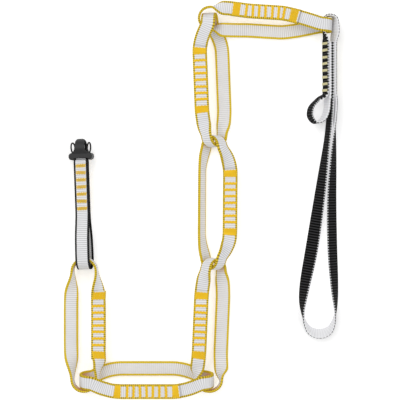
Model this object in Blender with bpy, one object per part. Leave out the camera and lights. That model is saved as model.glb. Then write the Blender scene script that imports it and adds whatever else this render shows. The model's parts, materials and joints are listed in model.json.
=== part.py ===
"""Daisy chain for climbing: six sewn webbing rings between a connector sling and a harness loop.

The chain lies on a table. +X is to the right, +Y is up the chain and +Z is away from the table.
Every ring is one strip of flat tape. Its two ends lie on each other on the ring's front leg,
where bar tacks hold them. At its ends a ring bends in a plane that turns about the ring's length,
so that each ring hooks through the next one with room for the other's whole width.
"""

import math

import bmesh
import bpy
import numpy as np
from mathutils import Matrix, Vector

MM = 0.001

# Tape
TAPE_WIDTH = 13.0 * MM
TAPE_THICKNESS = 2.2 * MM
LAYER_GAP = 0.3 * MM
THREAD_GAP = 0.36 * MM
EDGE_ROUND = 0.6 * MM

# Rings
RING_LENGTH = 121.0 * MM
SIDE_ROOM = 2.4 * MM
TWIST_LENGTH = 19.0 * MM
STITCH_LENGTH = 61.0 * MM
STEP_RAMP = 9.0 * MM
PARTING = 17.5 * MM

# Links between neighbours
LINK_ROOM = 1.1 * MM
HOOK_ROOM = 0.8 * MM

# Bar tacks
TACK_HEIGHT = 0.6 * MM
END_TACK_LENGTH = 6.6 * MM
THIN_TACK_LENGTH = 2.2 * MM
THIN_TACK_PITCH = 5.8 * MM
THIN_TACKS = 7
TACK_MARGIN = 0.9 * MM
JUMP_WIDTH = 1.0 * MM
SLING_TACKS = 7
SLING_TACK_PITCH = 6.4 * MM
SLING_TACK_LENGTH = 2.6 * MM
SLING_TACK_WIDTH = 9.6 * MM
HARNESS_TACKS = 8
HARNESS_TACK_PITCH = 6.0 * MM

# Connector sling
SLING_HOOK_REACH = -0.3 * MM
SLING_SPREAD = 40.0 * MM
SLING_STITCH = 46.0 * MM
SLING_HEADING = 92.0
SLING_YAW = 7.0
EYE_TAPE_WIDTH = 7.6 * MM
CONNECTOR_RADIUS = 4.0 * MM

# Rubber keeper
COLLAR_WIDTH = 21.5 * MM
COLLAR_HEIGHT = 6.4 * MM
COLLAR_WALL = 2.0 * MM
COLLAR_END_ROUND = 2.8 * MM
COLLAR_ROUND = 1.3 * MM
HOOD_TOP_WIDTH = 7.8 * MM
HOOD_FOOT_WIDTH = 13.8 * MM
HOOD_WALL = 1.3 * MM
RUBBER_FIT = 0.8 * MM
EAR_RADIUS = 4.2 * MM
EAR_WIRE = 0.9 * MM
EAR_OFFSET = 7.5 * MM
EAR_SPLAY = 4.0

# Harness loop
HARNESS_STITCH = 45.0 * MM
HARNESS_LEAN = 19.0
HARNESS_TOP_ROOM = 1.6 * MM
HARNESS_NECK = 8.4 * MM
HARNESS_BOW = 5.0 * MM
HARNESS_REACH = 2.4 * MM
HARNESS_EYE_WIDTH = 17.2 * MM
HARNESS_EYE_LENGTH = 26.8 * MM
HARNESS_EYE_DROP = 2.0 * MM
LONG_LOOP_WIDTH = 29.0 * MM
LONG_LOOP_LENGTH = 216.8 * MM
LONG_LOOP_DROP = 5.4 * MM

# Routes of the harness end's two loops, each as shares of its width, length and drop
EYE_ROUTE = (
    (0.11, 0.261, 0.8), (0.14, 0.56, 0.95), (0.326, 0.881, 1.0),
    (0.709, 1.0, 1.0), (1.0, 0.791, 1.0), (0.93, 0.485, 0.95),
    (0.57, 0.231, 0.8),
)

# The long loop's route also gives how its tape leans to the right and forwards
LONG_LOOP_ROUTE = (
    (0.159, 0.042, 0.481, 0.28, 0.0), (0.172, 0.125, 0.63, 0.0, 0.0),
    (0.134, 0.231, 0.852, -0.38, 0.0), (0.076, 0.438, 1.093, -0.86, 0.0),
    (0.097, 0.646, 1.167, -0.95, 0.0), (0.159, 0.807, 1.093, -0.62, 0.0),
    (0.186, 0.918, 1.0, -0.1, -0.15), (0.021, 0.982, 1.0, 0.1, -0.5),
    (-0.31, 1.0, 1.0, 0.0, -0.7), (-0.648, 0.98, 1.0, -0.1, -0.5),
    (-0.814, 0.913, 1.0, 0.1, -0.15), (-0.772, 0.816, 1.111, 0.75, 0.0),
    (-0.538, 0.65, 1.333, 1.45, 0.0), (-0.297, 0.438, 1.185, 0.92, 0.0),
    (-0.09, 0.231, 0.852, 0.38, 0.0), (0.007, 0.115, 0.63, 0.34, 0.0),
)

BEND_RADIUS = (TAPE_WIDTH + TAPE_THICKNESS) / 2 + SIDE_ROOM
BEND_INSIDE = BEND_RADIUS - TAPE_THICKNESS / 2
BEND_OUTSIDE = BEND_RADIUS + TAPE_THICKNESS / 2
LAYER_STEP = TAPE_THICKNESS + LAYER_GAP
BEND_SPACING = RING_LENGTH - 2 * BEND_OUTSIDE

YELLOW = (0.93, 0.62, 0.05, 1.0)
WHITE = (0.82, 0.82, 0.80, 1.0)
BLACK = (0.03, 0.03, 0.03, 1.0)
CREAM = (0.85, 0.78, 0.50, 1.0)
RUBBER = (0.025, 0.025, 0.03, 1.0)


def ease(x):
    """A smooth step from 0 to 1 as x goes from 0 to 1."""
    x = min(max(x, 0.0), 1.0)
    return x * x * (3 - 2 * x)


def mix(a, b, share):
    return a + (b - a) * share


def unit(v):
    return v / np.linalg.norm(v)


def heading_axes(heading):
    """The unit vectors along a heading in degrees, to its right, and up."""
    a = math.radians(heading)
    along = np.array([math.cos(a), math.sin(a), 0.0])
    right = np.array([math.sin(a), -math.cos(a), 0.0])
    return along, right, np.array([0.0, 0.0, 1.0])


class Ring:
    """One sewn ring. Its front leg, which carries the stitching, lies away from the table.

    first and last are the angles in degrees between the table and the plane of the ring's bend
    at its first and last end. 0 stands the bend's tape on edge, and 90 lays it flat. parting is
    the length over which the legs part from a bend, and widening is how much wider than a half
    circle the first and last bend are on each side.
    """

    def __init__(self, number, first_bend, heading, front_side, spread, first, last,
                 back_tilt=0.0, bow=0.0, sag=3.0 * MM, slope=34.0, parting=PARTING,
                 widening=(0.0, 0.0)):
        self.name = f"ring_{number}"
        self.front_side = front_side
        self.spread = spread
        self.ends = (first, last)
        self.back_tilt = back_tilt
        self.bow = bow
        self.sag = sag
        self.slope = slope
        self.parting = parting
        self.bend_halves = (BEND_RADIUS + widening[0], BEND_RADIUS + widening[1])
        along, right, up = heading_axes(heading)
        self.axes = np.array([along, right * front_side, up])
        self.first_bend = np.array(first_bend)
        self.last_bend = self.first_bend + along * BEND_SPACING
        self.middle = (self.first_bend + self.last_bend) / 2
        self.along = along

    def near_end(self, u):
        """0 where the legs are fully apart, rising to 1 at the bends."""
        return ease((abs(u) - BEND_SPACING / 2 + self.parting) / self.parting)

    def at(self, u, across):
        """The tape's centre and width direction at u along the ring, across from its axis."""
        half = BEND_SPACING / 2
        end = self.ends[1] if u > 0 else self.ends[0]
        near_end = self.near_end(u)
        plane = math.radians(mix(self.slope, end, near_end))
        tilt = 0.0 if across > 0 else self.back_tilt
        turned = ease((abs(u) - half + TWIST_LENGTH) / TWIST_LENGTH)
        angle = math.radians(mix(tilt, end - 90.0, turned))
        place = np.array([
            u,
            across * math.cos(plane) + self.bow * (1 - near_end),
            across * math.sin(plane) - self.sag * (1 - near_end),
        ])
        width = np.array([0.0, math.cos(angle), math.sin(angle)])
        return self.middle + place @ self.axes, width @ self.axes

    def leg(self, u, side):
        """The tape on the front leg (side 1) or the back leg (side -1)."""
        bend_half = self.bend_halves[1] if u > 0 else self.bend_halves[0]
        return self.at(u, side * mix(self.spread / 2, bend_half, self.near_end(u)))

    def bend(self, end, turn):
        """The tape in the bend at the first (end -1) or last (end 1) end, turned by turn radians."""
        u = end * (BEND_SPACING / 2 + BEND_RADIUS * math.sin(turn))
        bend_half = self.bend_halves[1] if end > 0 else self.bend_halves[0]
        return self.at(u, end * bend_half * math.cos(turn))

    def strip(self):
        """Centres, width directions and outward steps from the tape's first end to its last."""
        half, stitch = BEND_SPACING / 2, STITCH_LENGTH / 2
        turns = [math.pi * k / 8 for k in range(1, 8)]
        front_out = [-stitch, *bar_edges(ring_bars()), stitch]
        to_bend = list(np.linspace(stitch, half, 5))[1:]
        back = list(np.linspace(half, -half, 15))
        ramp = [-stitch - STEP_RAMP, -stitch - STEP_RAMP / 2, -stitch]
        from_bend = list(np.linspace(-half, -stitch - STEP_RAMP, 4))[:-1]
        route = [(self.leg(u, 1), 0.0) for u in front_out + to_bend]
        route += [(self.bend(1, t), 0.0) for t in turns]
        route += [(self.leg(u, -1), 0.0) for u in back]
        route += [(self.bend(-1, t), 0.0) for t in turns]
        route += [(self.leg(u, 1), 0.0) for u in from_bend]
        route += [(self.leg(u, 1), LAYER_STEP * ease((u - ramp[0]) / STEP_RAMP)) for u in ramp]
        route += [(self.leg(u, 1), LAYER_STEP) for u in front_out[1:]]
        return finish_strip(route, -self.front_side)

    def face_frame(self, u, height):
        """Centre, width direction and outward normal at a height over the front leg's first layer."""
        ahead, behind = self.leg(u + MM, 1)[0], self.leg(u - MM, 1)[0]
        centre, width = self.leg(u, 1)
        direction = unit(ahead - behind)
        width = unit(width - direction * (width @ direction))
        normal = np.cross(direction, width) * -self.front_side
        return centre + normal * height, width, normal


def finish_strip(route, outward):
    """Squares the width directions of a route, and moves its points outwards by their steps."""
    centres = np.array([place[0] for place, _ in route])
    widths = np.array([place[1] for place, _ in route])
    steps = np.array([step for _, step in route])
    directions = np.gradient(centres, axis=0)
    directions /= np.linalg.norm(directions, axis=1)[:, None]
    widths -= directions * (widths * directions).sum(1)[:, None]
    widths /= np.linalg.norm(widths, axis=1)[:, None]
    normals = np.cross(directions, widths) * outward
    return centres + normals * steps[:, None], widths


def smooth_route(points, samples):
    """A Catmull-Rom curve through rows of numbers, with some samples between each two."""
    rows = np.array(points, float)
    rows = np.vstack([2 * rows[0] - rows[1], rows, 2 * rows[-1] - rows[-2]])
    made = []
    for k in range(1, len(rows) - 2):
        a, b, c, d = rows[k - 1 : k + 3]
        for t in np.linspace(0, 1, samples, endpoint=False):
            made.append(0.5 * (2 * b + (c - a) * t + (2 * a - 5 * b + 4 * c - d) * t * t
                               + (3 * b - a - 3 * c + d) * t ** 3))
    return np.array(made + [rows[-2]])


def new_object(name, mesh_data, material, body, collection=None):
    """An object with its origin on its body's hinge, under that hinge's empty."""
    mesh = bpy.data.meshes.new(name)
    mesh_data.to_mesh(mesh)
    mesh_data.free()
    mesh.transform(Matrix.Translation(-body.matrix_world.translation))
    mesh.materials.append(material)
    mesh.shade_smooth()
    mesh.set_sharp_from_angle(angle=math.radians(50))
    made = bpy.data.objects.new(name, mesh)
    (collection or PARTS).objects.link(made)
    made.parent = body
    return made


def strip_loft(centres, widths, sizes, thickness):
    """A flat strip with rounded edges, lofted through its cross-sections."""
    directions = np.gradient(centres, axis=0)
    data = bmesh.new()
    rings = []
    for k in range(len(centres)):
        half = sizes[k] / 2
        up = unit(np.cross(directions[k], widths[k])) * thickness / 2
        out = widths[k] * half
        inner = widths[k] * (half - EDGE_ROUND)
        corners = (-out, up - inner, up + inner, out, inner - up, -inner - up)
        rings.append([data.verts.new(Vector(centres[k] + c)) for c in corners])
    for here, there in zip(rings, rings[1:]):
        for k in range(6):
            data.faces.new((here[k], here[k - 1], there[k - 1], there[k]))
    data.faces.new(rings[0])
    data.faces.new(rings[-1][::-1])
    bmesh.ops.recalc_face_normals(data, faces=data.faces)
    return data


def tape(name, centres, widths, material, body, sizes=None):
    """A strip of tape, of full width where no sizes are given."""
    sizes = sizes if sizes is not None else [TAPE_WIDTH] * len(centres)
    return new_object(name, strip_loft(centres, widths, sizes, TAPE_THICKNESS), material, body)


def bar_tacks(name, bars, across, face_frame, height, side, material, body):
    """One unbroken thread sewn to and fro over a face of the tape, in bars across its width.

    bars are (middle, length) along the tape, in order. Between two bars the thread runs on along
    one edge, right and left in turn. face_frame gives the centre, width direction and normal at a
    place along the tape and a height over its middle, and side is 1 on the normal's side.
    """
    edges = (-across / 2, JUMP_WIDTH - across / 2, across / 2 - JUMP_WIDTH, across / 2)
    stops = bar_edges(bars)
    data = bmesh.new()
    grid = []
    for stop in stops:
        centre, width, normal = face_frame(stop, height)
        low = [centre + width * e + normal * side * THREAD_GAP for e in edges]
        high = [place + normal * side * TACK_HEIGHT for place in low]
        grid.append([[data.verts.new(Vector(p)) for p in row] for row in (low, high)])

    def sewn(row, column):
        """Whether thread covers a cell between two stops and two edges."""
        if not (0 <= row < len(stops) - 1 and 0 <= column < 3):
            return False
        return row % 2 == 0 or column == (2 if row % 4 == 1 else 0)

    for row in range(len(stops) - 1):
        for column in range(3):
            if not sewn(row, column):
                continue
            near, far = grid[row], grid[row + 1]
            corners = [near[0][column], near[0][column + 1], far[0][column + 1], far[0][column]]
            roof = [near[1][column], near[1][column + 1], far[1][column + 1], far[1][column]]
            data.faces.new(corners)
            data.faces.new(roof)
            beside = ((row - 1, column), (row, column + 1), (row + 1, column), (row, column - 1))
            for k, cell in enumerate(beside):
                if not sewn(*cell):
                    data.faces.new((corners[k], corners[(k + 1) % 4], roof[(k + 1) % 4], roof[k]))
    bmesh.ops.delete(data, geom=[v for v in data.verts if not v.link_faces], context="VERTS")
    bmesh.ops.recalc_face_normals(data, faces=data.faces)
    return new_object(name, data, material, body)


def spaced(count, pitch, middle, length):
    """The middles and lengths of a row of equal bars."""
    return [(middle + (k - (count - 1) / 2) * pitch, length) for k in range(count)]


def bar_edges(bars):
    """Where each bar starts and stops along the tape."""
    return [middle + half * length for middle, length in bars for half in (-0.5, 0.5)]


def ring_bars():
    """Two wide end tacks with a row of thin ones between them, from the stitching's middle."""
    end = (STITCH_LENGTH - END_TACK_LENGTH) / 2 - TACK_MARGIN
    thin = spaced(THIN_TACKS, THIN_TACK_PITCH, 0.0, THIN_TACK_LENGTH)
    return [(-end, END_TACK_LENGTH), *thin, (end, END_TACK_LENGTH)]


def ring_stitching(ring, material, body):
    """The bars through both layers, as they show on the outer and on the inner face."""
    bars = ring_bars()
    across = TAPE_WIDTH - 2 * TACK_MARGIN
    outer, inner = LAYER_STEP + TAPE_THICKNESS / 2, -TAPE_THICKNESS / 2
    bar_tacks(f"{ring.name}_outer_stitching", bars, across, ring.face_frame, outer, 1,
              material, body)
    bar_tacks(f"{ring.name}_inner_stitching", bars, across, ring.face_frame, inner, -1,
              material, body)


class Sling:
    """The connector sling: three layers sewn together, an eye above and a hook round a ring below."""

    def __init__(self, hook_centre):
        along, right, up = heading_axes(SLING_HEADING)
        yaw = math.radians(SLING_YAW)
        self.side = right * math.cos(yaw) + up * math.sin(yaw)
        self.front = np.cross(self.side, along)
        self.along = along
        self.origin = np.array(hook_centre)
        self.stitch_start = SLING_SPREAD
        self.stitch_end = SLING_SPREAD + SLING_STITCH
        self.eye_radius = CONNECTOR_RADIUS + TAPE_THICKNESS / 2
        self.collar_start = self.stitch_end + 1.2 * MM
        self.eye_centre = self.collar_start + COLLAR_HEIGHT + self.eye_radius * 0.86

    def place(self, s, d):
        """The point at s up the sling and d in front of its middle layer."""
        return self.origin + self.along * s + self.front * d

    def eye_points(self):
        """The round of the eye, from the middle layer over the top to the back layer."""
        shift = -LAYER_STEP / 2
        r = self.eye_radius
        return [(self.eye_centre + r * math.sin(a), shift + r * math.cos(a))
                for a in [math.radians(x) for x in (-20, 20, 55, 90, 125, 160, 200)]]

    def strip(self):
        """The tape's centres, width directions and widths from its middle end to its front end."""
        spread, step = BEND_RADIUS, LAYER_STEP
        neck = self.collar_start + COLLAR_HEIGHT
        hook = [(BEND_RADIUS * -math.sin(a), -spread * math.cos(a))
                for a in [math.radians(x) for x in (0, 30, 60, 90, 120, 150, 180)]]
        down = self.stitch_start
        points = [(down, 0.0), (down + SLING_STITCH / 2, 0.0), (self.stitch_end, 0.0),
                  (self.collar_start + COLLAR_HEIGHT * 0.9, 0.2 * step)]
        points += self.eye_points()
        points += [(self.collar_start + COLLAR_HEIGHT * 0.9, -1.2 * step),
                   (self.stitch_end, -step), (down + SLING_STITCH / 2, -step), (down, -step),
                   (down * 0.78, -spread * 0.38), (down * 0.42, -spread * 0.86)]
        points += hook
        points += [(down * 0.42, spread * 0.86), (down * 0.78, spread * 0.45),
                   (down, step), (down + SLING_STITCH / 2, step), (self.stitch_end, step)]
        route = smooth_route(points, 3)
        centres = np.array([self.place(s, d) for s, d in route])
        widths = np.tile(self.side, (len(route), 1))
        gathered = [ease((s - self.stitch_end) / (neck - self.stitch_end)) for s, _ in route]
        return centres, widths, [mix(TAPE_WIDTH, EYE_TAPE_WIDTH, g) for g in gathered]

    def stitching(self, material, body):
        """The bars across the sewn layers, on the front and the back face."""
        middle = self.stitch_start + SLING_STITCH / 2
        bars = spaced(SLING_TACKS, SLING_TACK_PITCH, middle, SLING_TACK_LENGTH)
        face = LAYER_STEP + TAPE_THICKNESS / 2

        def frame(s, d):
            return self.place(s, d), self.side, self.front

        bar_tacks("connector_sling_front_stitching", bars, SLING_TACK_WIDTH, frame, face, 1,
                  material, body)
        bar_tacks("connector_sling_back_stitching", bars, SLING_TACK_WIDTH, frame, -face, -1,
                  material, body)


class Keeper:
    """The moulded keeper: a collar round the tape, a hood over its eye and an ear at each side.

    Its own axes are X across the tape, Y out of the tape's back and Z up the sling, from the
    middle of the collar's lower side.
    """

    def __init__(self, sling):
        start = sling.place(sling.collar_start, -LAYER_STEP / 2)
        axes = np.array([sling.side, -sling.front, sling.along]).T
        self.frame = Matrix.Translation(Vector(start)) @ Matrix(axes.tolist()).to_4x4()
        self.eye_height = sling.eye_centre - sling.collar_start
        self.hood_radius = sling.eye_radius + TAPE_THICKNESS / 2 + RUBBER_FIT + HOOD_WALL / 2
        self.slot = (TAPE_WIDTH + 2 * RUBBER_FIT, 3.3 * LAYER_STEP)

    def block(self, size, centre, end_round=0.0, face_round=0.0):
        """A box. Its corners as seen from the front, and its front and back rims, can be rounded."""
        data = bmesh.new()
        bmesh.ops.create_cube(data, size=1.0)
        bmesh.ops.scale(data, vec=size, verts=data.verts)
        for rounding, on_face in ((end_round, False), (face_round, True)):
            edges = [e for e in data.edges if (e.verts[0].co.y * e.verts[1].co.y > 0) == on_face]
            if rounding:
                bmesh.ops.bevel(data, geom=edges, offset=rounding, segments=3, profile=0.5,
                                affect="EDGES")
        bmesh.ops.translate(data, vec=centre, verts=data.verts)
        return data

    def hood(self):
        """A strip from the collar's front wall over the eye to its back wall."""
        foot = self.slot[1] / 2 + COLLAR_WALL / 2
        low = COLLAR_HEIGHT - 1.2 * MM
        turns = [math.radians(a) for a in range(-10, 191, 20)]
        path = [(foot, low)]
        path += [(self.hood_radius * math.cos(a), self.eye_height + self.hood_radius * math.sin(a))
                 for a in turns]
        path.append((-foot, low))
        centres = np.array([(0.0, y, z) for y, z in smooth_route(path, 2)])
        widths = np.tile((1.0, 0.0, 0.0), (len(centres), 1))
        rise = self.eye_height + self.hood_radius - low
        sizes = [mix(HOOD_FOOT_WIDTH, HOOD_TOP_WIDTH, (c[2] - low) / rise) for c in centres]
        return strip_loft(centres, widths, sizes, HOOD_WALL)

    def ear(self, side):
        """A ring of round wire that stands on the collar and leans away from the hood."""
        data = bmesh.new()
        grid = []
        for k in range(20):
            a = 2 * math.pi * k / 20
            row = []
            for j in range(8):
                b = 2 * math.pi * j / 8
                reach = EAR_RADIUS + EAR_WIRE * math.cos(b)
                place = (EAR_WIRE * math.sin(b), reach * math.cos(a), reach * math.sin(a))
                row.append(data.verts.new(place))
            grid.append(row)
        for k in range(20):
            for j in range(8):
                here, there = grid[k - 1], grid[k]
                data.faces.new((here[j - 1], here[j], there[j], there[j - 1]))
        bmesh.ops.recalc_face_normals(data, faces=data.faces)
        lean = Matrix.Rotation(math.radians(side * EAR_SPLAY), 4, "Y")
        height = COLLAR_HEIGHT + EAR_RADIUS + EAR_WIRE - 0.9 * MM
        place = Matrix.Translation((side * EAR_OFFSET, 0.0, height))
        bmesh.ops.transform(data, matrix=place @ lean, verts=data.verts)
        return data

    def build(self, material, body):
        """The collar with its slot cut and its hood and ears joined on."""
        depth = self.slot[1] + 2 * COLLAR_WALL
        middle = (0.0, 0.0, COLLAR_HEIGHT / 2)
        collar = self.block((COLLAR_WIDTH, depth, COLLAR_HEIGHT), middle,
                            COLLAR_END_ROUND, COLLAR_ROUND)
        slot = self.block((*self.slot, COLLAR_HEIGHT * 2), middle)
        collar.transform(self.frame)
        made = new_object("rubber_keeper", collar, material, body)
        steps = [("slot", slot, "DIFFERENCE"), ("hood", self.hood(), "UNION"),
                 ("right_ear", self.ear(1), "UNION"), ("left_ear", self.ear(-1), "UNION")]
        for label, data, operation in steps:
            data.transform(self.frame)
            tool = new_object(f"cutter_{label}", data, material, body, CUTTERS)
            tool.hide_render = True
            tool.display_type = "WIRE"
            step = made.modifiers.new(label, "BOOLEAN")
            step.operation = operation
            step.solver = "EXACT"
            step.object = tool
        return made


class HarnessLoop:
    """The harness end: a hook round the last ring, a small eye and a long loop, one tape in all.

    Four layers stand on edge side by side where they are sewn. From left to right they are the
    eye's left and right leg and the long loop's left and right leg.
    """

    def __init__(self, top):
        self.origin = np.array(top)
        self.lean = math.tan(math.radians(HARNESS_LEAN))
        a = math.radians(HARNESS_LEAN)
        self.stack = np.array([math.cos(a), 0.0, -math.sin(a)])
        self.width = np.array([math.sin(a), 0.0, math.cos(a)])

    def layer(self, number, y):
        """A point of layer 1 to 4 in the sewn part, as x, y, z and the lean of its width."""
        place = self.stack * (number - 2.5) * LAYER_STEP
        return (place[0], y, place[2], self.lean, 0.0)

    def strip(self):
        """The tape from the eye's inner end round the eye, the hook and the long loop."""
        end = -HARNESS_STITCH
        eye = [(-x * HARNESS_EYE_WIDTH, end - y * HARNESS_EYE_LENGTH, -z * HARNESS_EYE_DROP,
                self.lean, 0.0) for x, y, z in EYE_ROUTE]
        long_loop = [(x * LONG_LOOP_WIDTH, end - y * LONG_LOOP_LENGTH, -z * LONG_LOOP_DROP, a, b)
                     for x, y, z, a, b in LONG_LOOP_ROUTE]
        top = HARNESS_NECK + TAPE_WIDTH + HARNESS_TOP_ROOM + TAPE_THICKNESS / 2
        down = (0.0, end / 2, end)
        up = (end, end / 2, 0.0)
        points = [self.layer(2, y) for y in down] + eye + [self.layer(1, y) for y in up]
        bow = HARNESS_BOW
        points += [(-bow, top * 0.36, 0.0, 0.0, 0.0),
                   (-bow, top * 0.82, 0.0, 0.0, 0.0),
                   (-bow * 0.7, top * 0.96, 0.0, 0.0, 0.0),
                   (0.0, top, 0.0, 0.0, 0.0),
                   (bow * 0.7, top * 0.96, 0.0, 0.0, 0.0),
                   (bow, top * 0.82, 0.0, 0.0, 0.0),
                   (bow, top * 0.36, 0.0, 0.0, 0.0)]
        points += [self.layer(4, y) for y in down] + long_loop + [self.layer(3, y) for y in up]
        rows = smooth_route(points, 3)
        route = [((self.origin + row[:3], np.array([row[3], row[4], 1.0])), 0.0) for row in rows]
        return finish_strip(route, 1)

    def stitching(self, material, body):
        """The bars across the sewn layers, on the outer faces of the first and last layer."""
        bars = spaced(HARNESS_TACKS, HARNESS_TACK_PITCH, HARNESS_STITCH / 2, THIN_TACK_LENGTH)
        face = 1.5 * LAYER_STEP + TAPE_THICKNESS / 2
        across = TAPE_WIDTH - 2 * TACK_MARGIN
        down = np.array([0.0, -1.0, 0.0])

        def frame(s, d):
            return self.origin + down * s + self.stack * d, self.width, self.stack

        bar_tacks("harness_loop_left_stitching", bars, across, frame, -face, -1, material, body)
        bar_tacks("harness_loop_right_stitching", bars, across, frame, face, 1, material, body)


def finish_material(name, colour, roughness):
    """A plain Principled finish of one colour."""
    material = bpy.data.materials.new(name)
    material.use_nodes = True
    shader = material.node_tree.nodes["Principled BSDF"]
    shader.inputs["Base Color"].default_value = colour
    shader.inputs["Roughness"].default_value = roughness
    shader.inputs["Metallic"].default_value = 0.0
    material.diffuse_color = colour
    return material


def hinge(name, place, parent=None):
    """An empty on a joint's vertical axis."""
    made = bpy.data.objects.new(name, None)
    PARTS.objects.link(made)
    made.empty_display_size = 10 * MM
    made.parent = parent
    start = parent.matrix_world.translation if parent else Vector()
    made.location = Vector(place) - start
    bpy.context.view_layer.update()
    return made


for old in list(bpy.data.objects):
    bpy.data.objects.remove(old)
PARTS = bpy.data.collections.new("daisy_chain")
CUTTERS = bpy.data.collections.new("cutters")
bpy.context.scene.collection.children.link(PARTS)
bpy.context.scene.collection.children.link(CUTTERS)


def link_offset():
    """How far apart the bend centres of two rings in line are."""
    dip = BEND_INSIDE - math.sqrt(BEND_INSIDE ** 2 - (TAPE_WIDTH / 2) ** 2)
    return 2 * BEND_INSIDE - (2 * dip + LINK_ROOM)


def hook_offset():
    """How far a hooking ring's bend centre lies from the centre of the bend that it hooks."""
    reach = math.sqrt((BEND_INSIDE - HOOK_ROOM) ** 2 - (TAPE_WIDTH / 2) ** 2)
    return BEND_OUTSIDE - reach


def plan():
    """The six rings, each placed from the ring that it hooks."""
    east, north = heading_axes(0.0)[0], heading_axes(90.0)[0]
    ring_3 = Ring(3, (0.0, 0.0, 0.0), 87.6, -1, 23.6 * MM, 5.0, 45.0, widening=(1.4 * MM, 0.0))
    ring_4 = Ring(4, ring_3.last_bend + north * link_offset(), 89.6, 1, 26.0 * MM, 45.0, 45.0,
                  back_tilt=-62.0, bow=2.0 * MM, slope=14.0)
    ring_5 = Ring(5, ring_4.last_bend + north * link_offset(), 92.2, -1, 24.4 * MM, 45.0, 80.0,
                  parting=33.0 * MM)
    ring_6 = Ring(6, ring_5.last_bend + north * hook_offset(), -3.6, -1, 19.5 * MM, 5.0, 90.0,
                  parting=34.0 * MM)
    ring_2 = Ring(2, ring_3.first_bend - east * (hook_offset() + BEND_SPACING), 0.0, 1,
                  23.3 * MM, 80.0, 80.0)
    ring_1 = Ring(1, ring_2.first_bend - east * hook_offset(), 90.0, 1, 27.0 * MM, 5.0, 5.0,
                  slope=20.0, parting=26.0 * MM, widening=(1.0 * MM, 0.8 * MM))
    return [ring_1, ring_2, ring_3, ring_4, ring_5, ring_6]


def settle(root):
    """Moves the chain so that its box is centred over the origin and its lowest point is at 0."""
    bpy.context.view_layer.update()
    corners = [made.matrix_world @ Vector(corner) for made in PARTS.objects
               if made.type == "MESH" for corner in made.bound_box]
    low = [min(c[k] for c in corners) for k in range(3)]
    high = [max(c[k] for c in corners) for k in range(3)]
    root.location -= Vector(((low[0] + high[0]) / 2, (low[1] + high[1]) / 2, low[2]))
    bpy.context.view_layer.update()


def main():
    webbing = finish_material("ring_webbing", WHITE, 0.8)
    thread = finish_material("yellow_thread", YELLOW, 0.7)
    sling_webbing = finish_material("sling_webbing", WHITE, 0.8)
    rubber = finish_material("black_rubber", RUBBER, 0.6)
    harness_webbing = finish_material("harness_webbing", BLACK, 0.8)
    cream = finish_material("cream_thread", CREAM, 0.7)
    rings = plan()
    ring_1, ring_2, ring_3, ring_4, ring_5, ring_6 = rings
    end = ring_6.last_bend + ring_6.along * (BEND_OUTSIDE - HARNESS_REACH)

    root = hinge("ring_3_hinge", (ring_3.middle[0], ring_3.middle[1], 0.0))
    empty_2 = hinge("ring_2_hinge", ring_3.first_bend, root)
    empty_1 = hinge("ring_1_hinge", ring_1.first_bend, empty_2)
    sling_empty = hinge("connector_sling_hinge", ring_1.last_bend, empty_1)
    empty_4 = hinge("ring_4_hinge", (ring_3.last_bend + ring_4.first_bend) / 2, root)
    empty_5 = hinge("ring_5_hinge", (ring_4.last_bend + ring_5.first_bend) / 2, empty_4)
    empty_6 = hinge("ring_6_hinge", ring_6.first_bend, empty_5)
    harness_empty = hinge("harness_loop_hinge", end, empty_6)

    bodies = (empty_1, empty_2, root, empty_4, empty_5, empty_6)
    for ring, body in zip(rings, bodies):
        tape(f"{ring.name}_tape", *ring.strip(), webbing, body)
        ring_stitching(ring, thread, body)
    sling = Sling(ring_1.last_bend + ring_1.along * (BEND_OUTSIDE - SLING_HOOK_REACH))
    centres, widths, sizes = sling.strip()
    tape("connector_sling_tape", centres, widths, sling_webbing, sling_empty, sizes)
    sling.stitching(thread, sling_empty)
    Keeper(sling).build(rubber, sling_empty)
    harness = HarnessLoop((end[0], end[1] - TAPE_WIDTH / 2 - HARNESS_NECK, 0.0))
    tape("harness_loop_tape", *harness.strip(), harness_webbing, harness_empty)
    harness.stitching(cream, harness_empty)
    settle(root)
    for empty in (*bodies, sling_empty, harness_empty):
        print(empty.name, [round(c, 6) for c in empty.matrix_world.translation])


main()
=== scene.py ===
"""Dresses the daisy chain: woven tape, sewn bar tacks, a moulded keeper and a plain studio.

The chain lies on a pale floor and is seen from straight above. +X is to the right, +Y is up the
chain and +Z is away from the floor. Lengths are in metres.
"""

from __future__ import annotations

import json
import logging
import math
import random
from collections.abc import Callable
from dataclasses import dataclass
from enum import Enum

import bmesh
import bpy
import numpy as np
from mathutils import Matrix, Vector

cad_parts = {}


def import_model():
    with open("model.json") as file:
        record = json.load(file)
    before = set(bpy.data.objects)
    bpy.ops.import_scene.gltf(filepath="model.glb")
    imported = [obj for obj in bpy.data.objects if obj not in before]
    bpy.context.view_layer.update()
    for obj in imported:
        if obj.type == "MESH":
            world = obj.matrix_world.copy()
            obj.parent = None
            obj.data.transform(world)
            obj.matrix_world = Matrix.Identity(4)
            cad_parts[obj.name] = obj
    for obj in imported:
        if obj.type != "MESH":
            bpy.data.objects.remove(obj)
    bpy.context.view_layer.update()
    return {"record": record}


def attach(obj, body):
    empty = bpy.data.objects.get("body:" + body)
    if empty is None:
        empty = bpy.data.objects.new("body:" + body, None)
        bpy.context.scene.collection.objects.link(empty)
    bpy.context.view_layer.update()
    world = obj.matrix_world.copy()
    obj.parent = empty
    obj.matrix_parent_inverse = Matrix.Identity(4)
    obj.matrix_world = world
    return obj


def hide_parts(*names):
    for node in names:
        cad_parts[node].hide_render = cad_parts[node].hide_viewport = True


MM = 0.001
Triple = tuple[float, float, float]
Colour = Triple
Bars = list[tuple[float, float]]
Mesh = bmesh.types.BMesh
Vectors = tuple[np.ndarray, np.ndarray, np.ndarray]
FaceFrame = Callable[[float, float], Vectors]
LOG = logging.getLogger("daisy_chain")
PLACE_MAP = "along_and_round"


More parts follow.
